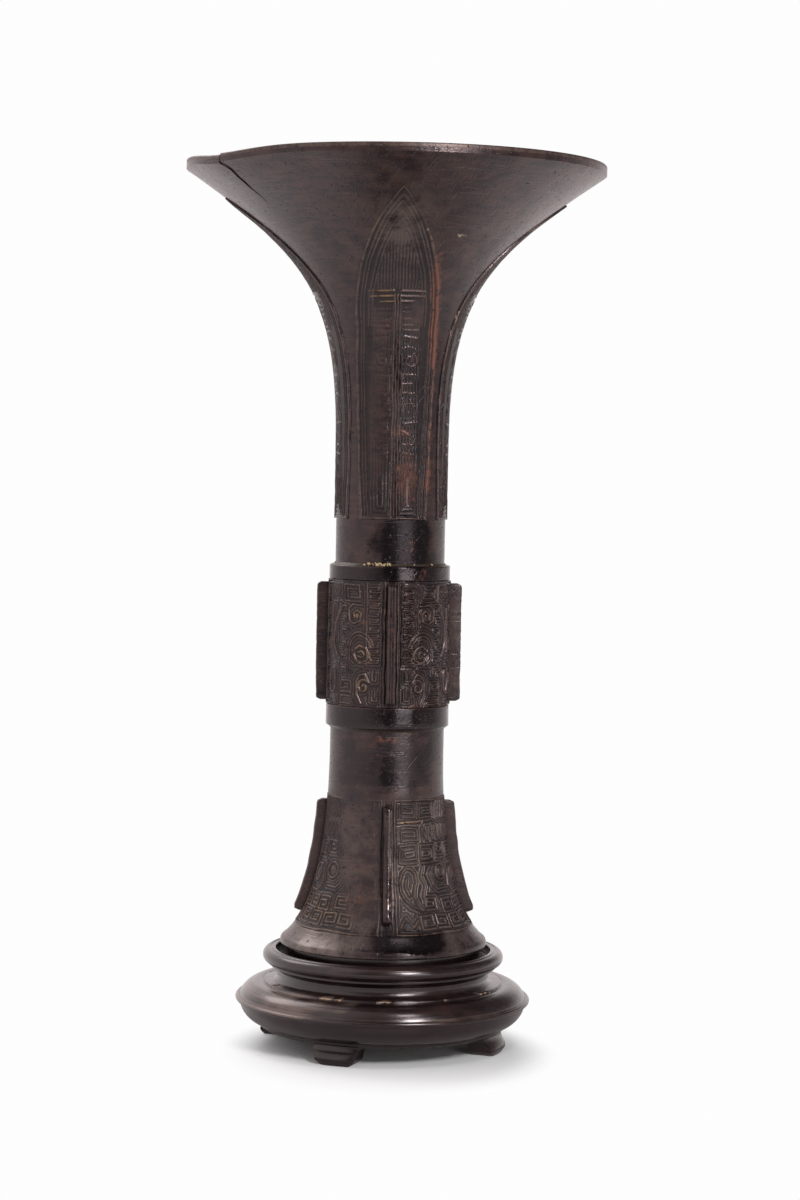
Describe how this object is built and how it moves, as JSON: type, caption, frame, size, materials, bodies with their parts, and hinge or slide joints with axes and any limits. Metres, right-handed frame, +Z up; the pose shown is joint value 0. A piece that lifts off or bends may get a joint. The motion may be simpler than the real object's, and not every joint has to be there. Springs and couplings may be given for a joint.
{
  "type": "bronze gu vessel",
  "caption": "Trumpet-mouthed bronze gu beaker with a flanged knop and spreading foot, lifting off a turned hardwood stand on bracket feet.",
  "frame": {"origin": "on the axis, at table level under the stand's feet", "axes": "+Z up along the vessel's axis, the vessel's front flanges towards -Y, +X to the viewer's right"},
  "size_m": [0.15, 0.15, 0.3165],
  "materials": {
    "bronze": "dark brown patinated bronze, satin, with earthy yellow in the recesses",
    "solder": "dull golden solder",
    "hardwood": "dark polished reddish-black hardwood"
  },
  "bodies": {
    "stand": {"stand_collar": "hardwood", "stand_base": "hardwood", "stand_foot_front": "hardwood", "stand_foot_right": "hardwood", "stand_foot_back": "hardwood", "stand_foot_left": "hardwood"},
    "vessel": {"trumpet": "bronze", "knop": "bronze", "spreading_foot": "bronze", "base_disc": "bronze", "knop_flange_front": "bronze", "knop_flange_right": "bronze", "knop_flange_back": "bronze", "knop_flange_left": "bronze", "foot_flange_front": "bronze", "foot_flange_right": "bronze", "foot_flange_back": "bronze", "foot_flange_left": "bronze", "upper_solder_bead": "solder", "lower_solder_bead": "solder"}
  },
  "joints": [
    {"name": "vessel_lift", "type": "slide", "parent": "stand", "child": "vessel", "axis": [0, 0, 1], "range_m": [0, 0.08]}
  ]
}
